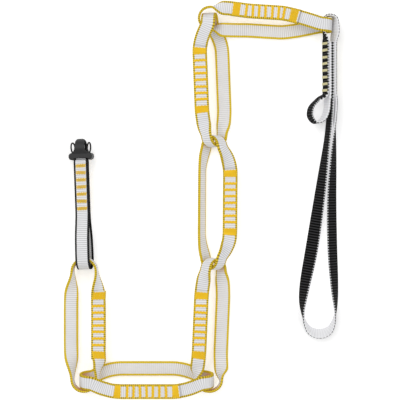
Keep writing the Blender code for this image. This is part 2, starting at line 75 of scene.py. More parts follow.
def ease(x: float) -> float:
    """A smooth step from 0 to 1 as x goes from 0 to 1."""
    x = min(max(x, 0.0), 1.0)
    return x * x * (3 - 2 * x)


def mix(a: float, b: float, share: float) -> float:
    """The value that lies a share of the way from a to b."""
    return a + (b - a) * share


def unit(v: np.ndarray) -> np.ndarray:
    """The vector at length 1."""
    return v / np.linalg.norm(v)


def heading_axes(heading: float) -> Vectors:
    """The unit vectors along a heading, to its right, and up.

    Args:
        heading: The direction on the floor in degrees, counted from +X towards +Y.

    Returns:
        The three unit vectors.
    """
    a = math.radians(heading)
    along = np.array([math.cos(a), math.sin(a), 0.0])
    right = np.array([math.sin(a), -math.cos(a), 0.0])
    return along, right, np.array([0.0, 0.0, 1.0])


class Value:
    """A number on a shader socket, for use in arithmetic."""

    def __init__(self, tree: bpy.types.NodeTree, socket: bpy.types.NodeSocket) -> None:
        """Wraps a socket of a node tree."""
        self.tree = tree
        self.socket = socket

    def math(self, operation: str, *others: Value | float, swap: bool = False) -> Value:
        """One Math node on this value.

        Args:
            operation: The Math node's operation.
            others: The other inputs.
            swap: Whether this value is the second input and not the first.

        Returns:
            The result.
        """
        node = self.tree.nodes.new("ShaderNodeMath")
        node.operation = operation
        inputs = [*others, self] if swap else [self, *others]
        for socket, item in zip(node.inputs, inputs):
            if isinstance(item, Value):
                self.tree.links.new(item.socket, socket)
            else:
                socket.default_value = item
        return Value(self.tree, node.outputs[0])

    def __add__(self, other: Value | float) -> Value:
        """This plus other."""
        return self.math("ADD", other)

    __radd__ = __add__

    def __sub__(self, other: Value | float) -> Value:
        """This minus other."""
        return self.math("SUBTRACT", other)

    def __rsub__(self, other: float) -> Value:
        """Other minus this."""
        return self.math("SUBTRACT", other, swap=True)

    def __mul__(self, other: Value | float) -> Value:
        """This times other."""
        return self.math("MULTIPLY", other)

    __rmul__ = __mul__

    def __gt__(self, other: Value | float) -> Value:
        """1 where this is more than other, and 0 elsewhere."""
        return self.math("GREATER_THAN", other)

    def __lt__(self, other: Value | float) -> Value:
        """1 where this is less than other, and 0 elsewhere."""
        return self.math("LESS_THAN", other)

    def __abs__(self) -> Value:
        """The size of this without its sign."""
        return self.math("ABSOLUTE")

    def wave(self, pitch: float, shift: Value | float = 0.0) -> Value:
        """A wave from 0 to 1 with a crest at every pitch, moved by shift crests."""
        turns = self * (1 / pitch) + shift
        return (turns * (2 * math.pi)).math("COSINE") * 0.5 + 0.5

    def limited(self, most: float) -> Value:
        """This, but no less than 0 and no more than most."""
        return self.math("MINIMUM", most).math("MAXIMUM", 0.0)

    def about_one(self, amount: float) -> Value:
        """A factor that varies about 1 by the amount as this goes from 0 to 1."""
        return self * amount + (1 - amount / 2)


class Shader:
    """A Principled material under construction."""

    def __init__(self, name: str) -> None:
        """Starts a material with its Principled shader.

        Args:
            name: The material's name.
        """
        self.material = bpy.data.materials.new(name)
        self.material.use_nodes = True
        self.tree = self.material.node_tree
        self.principled = self.tree.nodes["Principled BSDF"]

    def node(self, kind: str, settings: dict[str, object] | None = None,
             inputs: dict[str | int, object] | None = None) -> bpy.types.Node:
        """Adds a node.

        Args:
            kind: The node's type.
            settings: The node's own settings, which are made first.
            inputs: A value, a Value or a socket for each named or numbered input.

        Returns:
            The node.
        """
        made = self.tree.nodes.new(kind)
        for key, item in (settings or {}).items():
            setattr(made, key, item)
        for key, item in (inputs or {}).items():
            self.feed(made.inputs[key], item)
        return made

    def feed(self, socket: bpy.types.NodeSocket, item: object) -> None:
        """Links a value or a socket to a socket, or sets it there.

        Args:
            socket: The socket to feed.
            item: The value, the socket, or the number or colour to set.
        """
        if isinstance(item, Value):
            self.tree.links.new(item.socket, socket)
        elif isinstance(item, bpy.types.NodeSocket):
            self.tree.links.new(item, socket)
        elif isinstance(item, tuple) and len(item) == 3 and socket.type == "RGBA":
            socket.default_value = (*item, 1.0)
        else:
            socket.default_value = item

    def surface_place(self) -> tuple[Value, Value]:
        """How far along the piece and how far round it a point lies.

        Returns:
            The place along the piece in millimetres, and the place round it.
        """
        place = self.node("ShaderNodeUVMap", {"uv_map": PLACE_MAP})
        parts = self.node("ShaderNodeSeparateXYZ", inputs={0: place.outputs[0]})
        return Value(self.tree, parts.outputs[0]), Value(self.tree, parts.outputs[1])

    def noise(self, size: float, detail: float = 2.0) -> Value:
        """Noise over the object's own space.

        Args:
            size: The size of its patches in metres.
            detail: How many finer layers it has.

        Returns:
            The noise, from 0 to 1.
        """
        place = self.node("ShaderNodeTexCoord").outputs["Object"]
        made = self.node("ShaderNodeTexNoise",
                         inputs={"Vector": place, "Scale": 1 / size, "Detail": detail})
        return Value(self.tree, made.outputs["Fac"])

    def blend(self, share: Value | float, a: object, b: object, kind: str = "MIX") -> object:
        """Colour a turned into colour b by a share.

        Args:
            share: How much of b shows.
            a: The first colour.
            b: The second colour.
            kind: The way of blending.

        Returns:
            The socket of the blended colour.
        """
        made = self.node("ShaderNodeMix", {"data_type": "RGBA", "blend_type": kind},
                         {0: share, 6: a, 7: b})
        return made.outputs[2]

    def finish(self, colour: object, roughness: object, height: Value, depth: float,
               **fixed: object) -> bpy.types.Material:
        """Feeds the Principled shader.

        Args:
            colour: The base colour.
            roughness: The roughness.
            height: The relief, from 0 to 1.
            depth: The depth of the relief in metres.
            fixed: Values for other sockets of the shader, with _ for a space.

        Returns:
            The material.
        """
        bump = self.node("ShaderNodeBump", inputs={"Height": height, "Distance": depth})
        self.feed(self.principled.inputs["Base Color"], colour)
        self.feed(self.principled.inputs["Roughness"], roughness)
        self.feed(self.principled.inputs["Normal"], bump.outputs[0])
        for key, item in fixed.items():
            self.principled.inputs[key.replace("_", " ")].default_value = item
        return self.material


class Side(Enum):
    """The two faces of a tape."""

    FRONT = 1
    BACK = -1


@dataclass(frozen=True)
class WovenTape:
    """The finish of a flat woven tape.

    Its place round the tape runs from 0 to 1 over the front face and from 1 to 2 over the back.
    The two hollow fields are how light the hollows between ribs stay under painted shade on each
    face, crest is how narrow the ribs' crests are, and serration is how far a rib stands out at the
    tape's edge.
    Dots mark the edge where a rib's wave is lower than dot_start. The shades are how much the
    yarns, the grain and the soil darken the tape, and waver is how unevenly the coloured edge ends,
    as a share of the width. rib and the bends' places are in millimetres.
    """

    name: str
    slot: str
    front: Colour
    back: Colour
    edge: Colour
    back_edge: Colour
    dots: Colour
    edge_share: float
    rib: float
    yarns: int = 20
    shaded_hollow: float = 0.74
    back_shaded_hollow: float = 0.74
    crest: float = 1.0
    serration: float = 0.06 * MM
    dot_start: float = 0.42
    dot_sharpness: float = 4.0
    waver: float = 0.02
    waver_size: float = 2.2 * MM
    yarn_shade: float = 0.08
    grain_shade: float = 0.16
    grain_size: float = 0.35 * MM
    soil_shade: float = 0.12
    soil_size: float = 14.0 * MM
    roughness: float = 0.78
    sheen: float = 0.06
    relief: float = 0.12 * MM
    # The last five fields paint shade, warmed orange as if by light reflected from the yellow
    # edges, on the back face round each bend's middle
    bends: tuple[float, ...] = ()
    bend_reach: float = 17.0
    painted_bend_shade: Colour = (0.88, 0.42, 0.16)
    bend_shade_gain: float = 1.6
    most_bend_shade: float = 0.85

    def material(self) -> bpy.types.Material:
        """Coloured edges, cross ribs with painted shade in their hollows, lengthwise yarns, a
        little wear, and painted shade with a painted orange reflection inside the tight bends.

        Returns:
            The tape's material.
        """
        shader = Shader(self.name)
        along, round_ = shader.surface_place()
        on_back = round_ > 1.0
        across = round_ - on_back
        inwards = 0.5 - abs(across - 0.5)
        wander = (shader.noise(self.waver_size) - 0.5) * self.waver
        edge = (inwards + wander) < self.edge_share
        rib = along.wave(self.rib)
        dot = ((self.dot_start - rib) * self.dot_sharpness).limited(1.0)
        dotted = shader.blend(dot, self.edge, self.dots)
        front = shader.blend(edge, self.front, dotted)
        back = shader.blend(edge, self.inner_face_with_bend_shade(shader, along), self.back_edge)
        plain = shader.blend(on_back, front, back)
        yarn = across.wave(1 / self.yarns, along * (0.5 / self.rib))
        grain = shader.noise(self.grain_size, 3.0)
        soil = shader.noise(self.soil_size)
        # Painted shade: the colour is darkened in the hollows between ribs, and light then also
        # takes in the yarn pattern and the random grain and soil
        shaded_hollow = on_back * (self.back_shaded_hollow - self.shaded_hollow) + self.shaded_hollow
        light = shaded_hollow + rib.math("POWER", self.crest) * (1 - shaded_hollow)
        light = light * (yarn * self.yarn_shade + (1 - self.yarn_shade))
        light = light * grain.about_one(self.grain_shade) * soil.about_one(self.soil_shade)
        shade = shader.node("ShaderNodeCombineColor", inputs={0: light, 1: light, 2: light})
        colour = shader.blend(1.0, plain, shade.outputs[0], "MULTIPLY")
        height = rib * 0.45 + yarn * 0.35 + grain * 0.2
        return shader.finish(colour, self.roughness + grain * 0.12, height, self.relief,
                             Specular_IOR_Level=self.sheen)

    def inner_face_with_bend_shade(self, shader: Shader, along: Value) -> object:
        """The back face's colour, with painted shade and a painted orange reflection of the yellow
        edges inside the tape's tight bends.

        Args:
            shader: The material under construction.
            along: The place along the tape.

        Returns:
            The colour, or the socket that gives it.
        """
        colour = self.back
        for middle in self.bends:
            # painted shade with a painted orange reflection, strongest at the bend's middle and
            # fading over bend_reach
            depth = 1.0 - abs(along - middle) * (1 / self.bend_reach)
            share = (depth * self.bend_shade_gain).limited(self.most_bend_shade)
            colour = shader.blend(share, colour, self.painted_bend_shade)
        return colour


@dataclass(frozen=True)
class SewingThread:
    """The finish of a twisted sewing thread. ply is how far apart its turns are in millimetres."""

    name: str
    slot: str
    light: Colour
    # dark is painted shade in the grooves between the plies, and also the low end of the random
    # fuzz and soil
    dark: Colour
    ply: float = 0.9
    fuzz_size: float = 0.3 * MM
    soil_size: float = 5.0 * MM
    roughness: float = 0.5
    sheen: float = 0.4
    relief: float = 0.08 * MM

    def material(self) -> bpy.types.Material:
        """Slanting plies with painted shade in the grooves between them.

        Returns:
            The thread's material.
        """
        shader = Shader(self.name)
        along, round_ = shader.surface_place()
        ply = along.wave(self.ply, round_)
        fuzz = shader.noise(self.fuzz_size, 3.0)
        soil = shader.noise(self.soil_size)
        # painted shade in the ply grooves, mixed with random fuzz and soil
        colour = shader.blend(ply * 0.6 + fuzz * 0.25 + soil * 0.25, self.dark, self.light)
        return shader.finish(colour, self.roughness + fuzz * 0.2, ply * 0.8 + fuzz * 0.2,
                             self.relief, Specular_IOR_Level=self.sheen)


@dataclass(frozen=True)
class MouldedRubber:
    """The finish of a matt moulded rubber part."""

    name: str = "keeper_rubber"
    slot: str = "black_rubber"
    light: Colour = (0.018, 0.018, 0.019)
    dark: Colour = (0.005, 0.005, 0.006)
    mould_size: float = 0.25 * MM
    rubbed_size: float = 3.5 * MM
    roughness: float = 0.42
    relief: float = 0.05 * MM

    def material(self) -> bpy.types.Material:
        """A fine mould texture with faint rubbed patches.

        Returns:
            The rubber's material.
        """
        shader = Shader(self.name)
        mould = shader.noise(self.mould_size, 3.0)
        rubbed = shader.noise(self.rubbed_size, 4.0)
        colour = shader.blend(rubbed * rubbed * 1.6, self.dark, self.light)
        return shader.finish(colour, self.roughness + rubbed * 0.25, mould, self.relief)


Finish = WovenTape | SewingThread | MouldedRubber


@dataclass(frozen=True)
class PalePaper:
    """The finish of the studio floor, which glows a little like a light table."""

    name: str = "studio_floor"
    colour: Colour = (0.97, 0.97, 0.97)
    glow: float = 0.3
    tooth_size: float = 1.5 * MM
    roughness: float = 0.9
    sheen: float = 0.1
    relief: float = 0.02 * MM

    def material(self) -> bpy.types.Material:
        """Pale paper with a faint tooth.

        Returns:
            The floor's material.
        """
        shader = Shader(self.name)
        tooth = shader.noise(self.tooth_size)
        return shader.finish(self.colour, self.roughness, tooth, self.relief,
                             Specular_IOR_Level=self.sheen, Emission_Color=(1.0, 1.0, 1.0, 1.0),
                             Emission_Strength=self.glow)


WHITE_YARN = (0.91, 0.91, 0.925)
YELLOW_YARN = (0.81, 0.59, 0.04)
BLACK_YARN = (0.008, 0.008, 0.009)

# The ring tape's bends get painted shade with a painted orange reflection on the back face
RING_TAPE = WovenTape("ring_tape", "ring_webbing", front=WHITE_YARN, back=WHITE_YARN,
                      edge=YELLOW_YARN, back_edge=YELLOW_YARN, dots=(0.36, 0.25, 0.03),
                      edge_share=0.14, rib=1.8, shaded_hollow=0.7, bends=(97.3, 231.0))
# The sling's back face is white yarn painted grey, as painted shade on its inner face
SLING_TAPE = WovenTape("sling_tape", "sling_webbing", front=WHITE_YARN, back=(0.6, 0.6, 0.61),
                       edge=BLACK_YARN, back_edge=BLACK_YARN, dots=(0.07, 0.07, 0.07),
                       edge_share=0.14, rib=1.8, shaded_hollow=0.66)
HARNESS_TAPE = WovenTape("harness_tape", "harness_webbing", front=(0.052, 0.052, 0.055),
                         back=WHITE_YARN, edge=WHITE_YARN, back_edge=WHITE_YARN,
                         dots=BLACK_YARN, edge_share=0.05, rib=2.4, shaded_hollow=0.02, back_shaded_hollow=0.9,
                         crest=3.0, serration=0.12 * MM)
YELLOW_THREAD = SewingThread("yellow_sewing_thread", "yellow_thread", (1.0, 0.71, 0.02),
                             (0.88, 0.50, 0.005))
CREAM_THREAD = SewingThread("cream_sewing_thread", "cream_thread", (0.84, 0.79, 0.50),
                            (0.50, 0.44, 0.20))


@dataclass(frozen=True)
class TapeSize:
    """The sizes of the tape and its stitching, and how finely a route is drawn between points."""

    width: float = 13.0 * MM
    thickness: float = 2.2 * MM
    gap: float = 0.3 * MM
    rib_height: float = 0.07 * MM
    thread: float = 0.42 * MM
    margin: float = 0.9 * MM
    thin_tack: float = 2.2 * MM
    samples: int = 14

    @property
    def step(self) -> float:
        """How far apart the middles of two layers lie."""
        return self.thickness + self.gap

    @property
    def sewn_width(self) -> float:
        """How far the bar tacks of rings and harness loop reach across the tape."""
        return self.width - 2 * self.margin


SIZE = TapeSize()


@dataclass
class Route:
    """The way that a tape takes: its middle, its width direction and its width at each place."""

    centres: np.ndarray
    widths: np.ndarray
    sizes: np.ndarray

    @staticmethod
    def squared(rows: list[tuple[np.ndarray, np.ndarray, float]], outward: int) -> Route:
        """Squares the width directions and moves each place outwards by its step.

        Args:
            rows: Each place's middle, width direction and outward step.
            outward: 1 or -1, the side on which outwards lies.

        Returns:
            The finished route, at the full width of the tape.
        """
        centres = softened(np.array([row[0] for row in rows]))
        widths = np.array([row[1] for row in rows])
        steps = np.array([row[2] for row in rows])
        directions = np.gradient(centres, axis=0)
        directions /= np.linalg.norm(directions, axis=1)[:, None]
        widths -= directions * (widths * directions).sum(1)[:, None]
        widths /= np.linalg.norm(widths, axis=1)[:, None]
        normals = np.cross(directions, widths) * outward
        return Route(centres + normals * steps[:, None], widths, np.full(len(rows), SIZE.width))

    def even(self, spacing: float) -> tuple[Route, np.ndarray]:
        """The same route with evenly spaced places.

        Args:
            spacing: About how far apart they are.

        Returns:
            The route, and how far along it each place is.
        """
        steps = np.linalg.norm(np.diff(self.centres, axis=0), axis=1)
        reach = np.concatenate([[0.0], np.cumsum(steps)])
        marks = np.linspace(0.0, reach[-1], int(round(reach[-1] / spacing)) + 1)

        def at_marks(rows: np.ndarray) -> np.ndarray:
            """The rows' values at the marks."""
            return np.array([np.interp(marks, reach, column) for column in rows.T]).T

        sizes = np.interp(marks, reach, self.sizes)
        return Route(at_marks(self.centres), at_marks(self.widths), sizes), marks


def softened(rows: np.ndarray, reach: int = 5, spread: float = 2.0) -> np.ndarray:
    """Rows of points, each moved to the weighted mean of its neighbours; the ends stay.

    Args:
        rows: The points.
        reach: How many neighbours count on each side.
        spread: How far the weights spread, in rows.

    Returns:
        The softened points.
    """
    steps = np.arange(-reach, reach + 1)
    weights = np.exp(-0.5 * (steps / spread) ** 2)
    before = 2 * rows[0] - rows[reach:0:-1]
    after = 2 * rows[-1] - rows[-2:-reach - 2:-1]
    padded = np.vstack([before, rows, after])
    return sum(w * padded[k:k + len(rows)] for k, w in enumerate(weights / weights.sum()))


def smooth_route(points: list[tuple[float, ...]], samples: int) -> np.ndarray:
    """A smooth curve through rows of numbers.

    Args:
        points: The rows.
        samples: How many places it gives from each row to the next.

    Returns:
        The curve's rows.
    """
    rows = np.array(points, float)
    rows = np.vstack([2 * rows[0] - rows[1], rows, 2 * rows[-1] - rows[-2]])
    made = []
    for k in range(1, len(rows) - 2):
        a, b, c, d = rows[k - 1:k + 3]
        for t in np.linspace(0, 1, samples, endpoint=False):
            made.append(0.5 * (2 * b + (c - a) * t + (2 * a - 5 * b + 4 * c - d) * t * t
                               + (3 * b - a - 3 * c + d) * t ** 3))
    return np.array(made + [rows[-2]])


def linked(name: str, data: bpy.types.ID) -> bpy.types.Object:
    """A new object in the scene.

    Args:
        name: The object's name.
        data: Its mesh, light or camera.

    Returns:
        The object.
    """
    made = bpy.data.objects.new(name, data)
    bpy.context.scene.collection.objects.link(made)
    return made


def meshed(name: str, data: Mesh) -> bpy.types.Object:
    """A new object in the scene from mesh data, which is freed.

    Args:
        name: The object's and the mesh's name.
        data: The mesh data.

    Returns:
        The object.
    """
    mesh = bpy.data.meshes.new(name)
    data.to_mesh(mesh)
    data.free()
    return linked(name, mesh)


def dress(name: str, data: Mesh, finish: Finish, body: str, node: str) -> None:
    """Makes a piece that rides on a body in place of a solid.

    Args:
        name: The piece's name.
        data: Its mesh, which is freed.
        finish: Its finish.
        body: The body that carries it.
        node: The solid that it stands for.
    """
    bmesh.ops.recalc_face_normals(data, faces=data.faces)
    piece = meshed(name, data)
    piece.data.shade_smooth()
    piece.data.materials.append(finish.material())
    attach(piece, body)
    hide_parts(node)
    LOG.info("%s rides on %s", name, body)


def swept(data: Mesh, rows: list[list[np.ndarray]], along: np.ndarray, round_: list[float],
          closing: float) -> None:
    """Adds a closed sweep through rows of points, with its place along and round it.

    Args:
        data: The mesh.
        rows: The points of each cross-section, in order round it.
        along: How far along each cross-section is, in millimetres.
        round_: How far round each point of a cross-section is.
        closing: How far round the first point is when it is reached again.
    """
    layers = data.loops.layers.uv
    layer = layers.get(PLACE_MAP) or layers.new(PLACE_MAP)
    grid = [[data.verts.new(Vector(p)) for p in row] for row in rows]
    count = len(round_)
    marks = [*round_, closing]
    for k in range(len(rows) - 1):
        for j in range(count):
            corners = ((k, j), (k, j + 1), (k + 1, j + 1), (k + 1, j))
            face = data.faces.new([grid[a][b % count] for a, b in corners])
            for loop, (a, b) in zip(face.loops, corners):
                loop[layer].uv = (along[a], marks[b])
    for k, row in ((0, grid[0]), (-1, grid[-1])):
        face = data.faces.new(row)
        for loop, mark in zip(face.loops, round_):
            loop[layer].uv = (along[k], mark)


@dataclass
class TapeStrip:
    """A body's strip of ribbed tape. front_side is the side on which its front face lies."""

    body: str
    finish: WovenTape
    front_side: int
    profile: tuple[tuple[float, float], ...] = (
        (1.0, 0.0), (0.985, 0.5), (0.94, 0.8), (0.86, 0.92), (0.72, 0.97), (0.48, 1.0),
        (0.24, 1.0), (0.0, 1.0))

    def section(self) -> tuple[list[tuple[float, float]], list[float]]:
        """The points round the tape, as shares of its half width and half thickness.

        Returns:
            The points, and how far round each one is.
        """
        right = list(self.profile)
        front = [(-x, y) for x, y in right[:-1]] + right[::-1]
        back = [(x, -y) for x, y in front[-2:0:-1]]
        marks = [0.5 + 0.5 * x for x, _ in front] + [1.5 - 0.5 * x for x, _ in back]
        return front + back, marks

    def build(self, route: Route) -> None:
        """The strip's piece, with a raised rib across it at every pitch.

        Args:
            route: The way that the tape takes.
        """
        half_rib = self.finish.rib * MM / 2
        even, marks = route.even(half_rib)
        directions = np.gradient(even.centres, axis=0)
        points, round_ = self.section()
        rows = []
        for k, centre in enumerate(even.centres):
            width = unit(even.widths[k])
            up = unit(np.cross(directions[k], width)) * self.front_side
            in_hollow = k % 2
            half = even.sizes[k] / 2 + self.finish.serration * (0.5 - in_hollow)
            thick = SIZE.thickness / 2 - SIZE.rib_height * in_hollow
            rows.append([centre + width * x * half + up * y * thick for x, y in points])
        stretch = marks[1] / half_rib
        data = bmesh.new()
        swept(data, rows, marks / MM / stretch, round_, 2.0)
        dress(f"{self.body}_webbing", data, self.finish, self.body, f"{self.body}_tape")


@dataclass
class BarTacks:
    """Thread sewn to and fro across the faces of a body's tape.

    pitch is the distance between strands, uneven is how far a bar may be off its place and skewed,
    and a strand zigzags and sinks into the tape at its ends.
    """

    body: str
    finish: SewingThread
    across: float
    zigzag: float
    radius: float = SIZE.thread
    pitch: float = 2.05 * SIZE.thread
    uneven: float = 0.22 * MM
    sides: int = 6
    places: int = 9
    rise: float = 0.30 * MM
    sink: float = 0.5 * MM

    def tube(self, data: Mesh, path: np.ndarray, up: np.ndarray) -> None:
        """Adds one thread.

        Args:
            data: The mesh.
            path: The thread's middle.
            up: The direction away from the tape.
        """
        directions = np.gradient(path, axis=0)
        reach = np.concatenate([[0.0], np.cumsum(np.linalg.norm(np.diff(path, axis=0), axis=1))])
        marks = [j / self.sides for j in range(self.sides)]
        turns = [2 * math.pi * mark for mark in marks]
        rows = []
        for centre, direction in zip(path, directions):
            beside = unit(np.cross(direction, up))
            over = unit(np.cross(beside, direction))
            rows.append([centre + (beside * math.cos(a) + over * math.sin(a)) * self.radius
                         for a in turns])
        swept(data, rows, reach / MM, marks, 1.0)

    def build(self, label: str, bars: Bars, face_frame: FaceFrame, height: float,
              side: Side) -> None:
        """The threads of all bars on one face.

        Args:
            label: The face's name.
            bars: The middle and length of each bar along the tape.
            face_frame: Gives the centre, width direction and normal at a place and height.
            height: The face's height over the middle of the tape's layer.
            side: The face.
        """
        name = f"{self.body}_{label}_thread"
        data = bmesh.new()
        hand = random.Random(name)
        for middle, length in bars:
            count = max(2, int(round(length / self.pitch)))
            middle += hand.uniform(-self.uneven, self.uneven)
            skew = hand.uniform(-self.uneven, self.uneven)
            path, ups = [], []
            for k in range(count):
                u = middle + (k - (count - 1) / 2) * length / count
                reach = np.linspace(-1, 1, self.places) * (1 if k % 2 else -1)
                for j, e in enumerate(reach):
                    shift = self.zigzag * (0.5 - j % 2)
                    centre, width, normal = face_frame(u + skew * e + shift, height)
                    crown = self.rise - self.sink * abs(e) ** 6
                    path.append(centre + width * e * self.across / 2 + normal * side.value * crown)
                ups.append(normal * side.value)
            self.tube(data, np.array(path), np.mean(ups, axis=0))
        dress(name, data, self.finish, self.body, f"{self.body}_{label}_stitching")


def spaced(count: int, pitch: float, middle: float, length: float) -> Bars:
    """The middles and lengths of a row of equal bars."""
    return [(middle + (k - (count - 1) / 2) * pitch, length) for k in range(count)]


@dataclass
class RingSize:
    """The sizes that the six rings share. Their legs part over a longer way than the solids' do.

    places are how many places a route has in its first layer, each bend, its back and its last
    layer.
    """

    length: float = 121.0 * MM
    side_room: float = 2.4 * MM
    twist: float = 14.0 * MM
    parting: float = 26.0 * MM
    stitch: float = 61.0 * MM
    ramp: float = 9.0 * MM
    link_room: float = 1.1 * MM
    hook_room: float = 0.8 * MM
    end_tack: float = 6.6 * MM
    tack_pitch: float = 5.8 * MM
    thin_tacks: int = 7
    zigzag: float = 0.5 * MM
    swell: float = 1.7
    places: tuple[int, int, int, int] = (80, 34, 100, 90)

    def __post_init__(self) -> None:
        """Works out a bend's radius at the tape's middle and faces, and the bends' spacing."""
        self.bend = (SIZE.width + SIZE.thickness) / 2 + self.side_room
        self.inside = self.bend - SIZE.thickness / 2
        self.outside = self.bend + SIZE.thickness / 2
        self.spacing = self.length - 2 * self.outside

    def in_line(self) -> float:
        """How far apart the bends of two rings in line are."""
        dip = self.inside - math.sqrt(self.inside ** 2 - (SIZE.width / 2) ** 2)
        return 2 * self.inside - (2 * dip + self.link_room)

    def hooked(self) -> float:
        """How far a hooking ring's bend lies from the bend that it hooks."""
        reach = math.sqrt((self.inside - self.hook_room) ** 2 - (SIZE.width / 2) ** 2)
        return self.outside - reach

    def bars(self) -> Bars:
        """Two wide end tacks with a row of thin ones between them.

        Returns:
            The middle and length of each bar.
        """
        end = (self.stitch - self.end_tack) / 2 - SIZE.margin
        thin = spaced(self.thin_tacks, self.tack_pitch, 0.0, SIZE.thin_tack)
        return [(-end, self.end_tack), *thin, (end, self.end_tack)]


RING = RingSize()


@dataclass
class SewnRing:
    """One sewn ring. Its front leg, which carries the stitching, lies away from the floor.

    The legs lie spread apart in a plane at a slope to the floor, moved sideways by bow and down by
    sag, and back_tilt turns the back leg's tape. first and last are the angles in degrees between
    the floor and the plane of the ring's bend at its first and last end. 0 stands the bend's tape
    on edge, and 90 lays it flat. parting is the length over which the legs part from a bend, and
    swell is how much of that parting they keep close to the bend. twist is the length over which
    their tape turns, and widening is how much wider than a half circle the first and last bend are
    on each side.
    """

    number: int
    first_bend: np.ndarray
    heading: float
    front_side: int
    spread: float
    first: float
    last: float
    back_tilt: float = 0.0
    bow: float = 0.0
    sag: float = 3.0 * MM
    slope: float = 34.0
    parting: float = RING.parting
    twist: float = RING.twist
    widening: tuple[float, float] = (0.0, 0.0)
    swell: float = RING.swell

    def __post_init__(self) -> None:
        """Works out the ring's axes and its other bend."""
        along, right, up = heading_axes(self.heading)
        self.along = along
        self.axes = np.array([along, right * self.front_side, up])
        self.first_bend = np.array(self.first_bend, float)
        self.last_bend = self.first_bend + along * RING.spacing
        self.middle = (self.first_bend + self.last_bend) / 2

    def near_end(self, u: float) -> float:
        """0 where the legs are fully apart, rising to 1 at the bends."""
        share = (abs(u) - RING.spacing / 2 + self.parting) / self.parting
        return min(max(share, 0.0), 1.0) ** self.swell

    def bend_half(self, u: float) -> float:
        """Half the width of the bend that u lies towards."""
        return RING.bend + (self.widening[1] if u > 0 else self.widening[0])

    def at(self, u: float, across: float) -> tuple[np.ndarray, np.ndarray]:
        """The tape's middle and width direction.

        Args:
            u: How far along the ring from its middle.
            across: How far from the ring's axis, in the plane of its legs.

        Returns:
            The middle and the width direction.
        """
        half = RING.spacing / 2
        end = self.last if u > 0 else self.first
        near_end = self.near_end(u)
        plane = math.radians(mix(self.slope, end, near_end))
        tilt = 0.0 if across > 0 else self.back_tilt
        turned = ease((abs(u) - half + self.twist) / self.twist)
        angle = math.radians(mix(tilt, end - 90.0, turned))
        place = np.array([
            u,
            across * math.cos(plane) + self.bow * (1 - near_end),
            across * math.sin(plane) - self.sag * (1 - near_end),
        ])
        width = np.array([0.0, math.cos(angle), math.sin(angle)])
        return self.middle + place @ self.axes, width @ self.axes

    def leg(self, u: float, side: int) -> tuple[np.ndarray, np.ndarray]:
        """The tape on the front leg (side 1) or the back leg (side -1)."""
        return self.at(u, side * mix(self.spread / 2, self.bend_half(u), self.near_end(u)))

    def bend(self, end: int, turn: float) -> tuple[np.ndarray, np.ndarray]:
        """The tape in the bend at the first (-1) or last (1) end, turned by turn radians."""
        u = end * (RING.spacing / 2 + RING.bend * math.sin(turn))
        return self.at(u, end * self.bend_half(u) * math.cos(turn))

    def route(self) -> Route:
        """The tape's way from its first end once round the ring and on over itself.

        Returns:
            The route.
        """
        half, stitch = RING.spacing / 2, RING.stitch / 2
        first, round_, back, last = RING.places
        turns = np.linspace(0, math.pi, round_)[1:-1]
        start = -stitch - RING.ramp
        rows = [(*self.leg(u, 1), 0.0) for u in np.linspace(-stitch, half, first)]
        rows += [(*self.bend(1, t), 0.0) for t in turns]
        rows += [(*self.leg(u, -1), 0.0) for u in np.linspace(half, -half, back)]
        rows += [(*self.bend(-1, t), 0.0) for t in turns]
        rows += [(*self.leg(u, 1), SIZE.step * ease((u - start) / RING.ramp))
                 for u in np.linspace(-half, stitch, last)]
        return Route.squared(rows, -self.front_side)

    def face_frame(self, u: float, height: float) -> Vectors:
        """The frame of the front leg's face.

        Args:
            u: How far along the ring from its middle.
            height: The height over the tape's middle layer.

        Returns:
            The centre, width direction and outward normal.
        """
        ahead, behind = self.leg(u + MM, 1)[0], self.leg(u - MM, 1)[0]
        centre, width = self.leg(u, 1)
        direction = unit(ahead - behind)
        width = unit(width - direction * (width @ direction))
        normal = np.cross(direction, width) * -self.front_side
        return centre + normal * height, width, normal

    def build(self) -> None:
        """The ring's tape and the thread on both faces of its sewn layers."""
        body = f"ring_{self.number}"
        TapeStrip(body, RING_TAPE, -self.front_side).build(self.route())
        face = SIZE.thickness / 2
        tacks = BarTacks(body, YELLOW_THREAD, SIZE.sewn_width, RING.zigzag)
        tacks.build("outer", RING.bars(), self.face_frame, SIZE.step + face, Side.FRONT)
        tacks.build("inner", RING.bars(), self.face_frame, -face, Side.BACK)


def chain_of_rings(start: np.ndarray) -> list[SewnRing]:
    """The six rings, each placed from the ring that it hooks.

    Args:
        start: The place of the third ring's first bend.

    Returns:
        The rings in order.
    """
    east, north = heading_axes(0.0)[0], heading_axes(90.0)[0]
    in_line, hooked = RING.in_line(), RING.hooked()
    third = SewnRing(3, start, heading=87.6, front_side=-1, spread=23.6 * MM, first=5.0, last=45.0,
                     widening=(1.4 * MM, 0.0))
    fourth = SewnRing(4, third.last_bend + north * in_line, heading=89.6, front_side=1,
                      spread=26.0 * MM, first=45.0, last=45.0, back_tilt=-62.0, bow=2.0 * MM,
                      sag=2.4 * MM, slope=14.0, parting=22.0 * MM, twist=21.0 * MM)
    fifth = SewnRing(5, fourth.last_bend + north * in_line, heading=92.2, front_side=-1,
                     spread=24.4 * MM, first=45.0, last=80.0, sag=2.7 * MM, parting=24.0 * MM)
    sixth = SewnRing(6, fifth.last_bend + north * hooked, heading=-3.6, front_side=-1,
                     spread=19.5 * MM, first=5.0, last=90.0, parting=34.0 * MM, swell=1.0)
    second = SewnRing(2, third.first_bend - east * (hooked + RING.spacing), heading=0.0,
                      front_side=1, spread=23.3 * MM, first=80.0, last=80.0)
    first = SewnRing(1, second.first_bend - east * hooked, heading=90.0, front_side=1,
                     spread=27.0 * MM, first=5.0, last=5.0, slope=20.0, parting=40.0 * MM,
                     twist=30.0 * MM, widening=(1.0 * MM, 0.8 * MM))
    return [first, second, third, fourth, fifth, sixth]


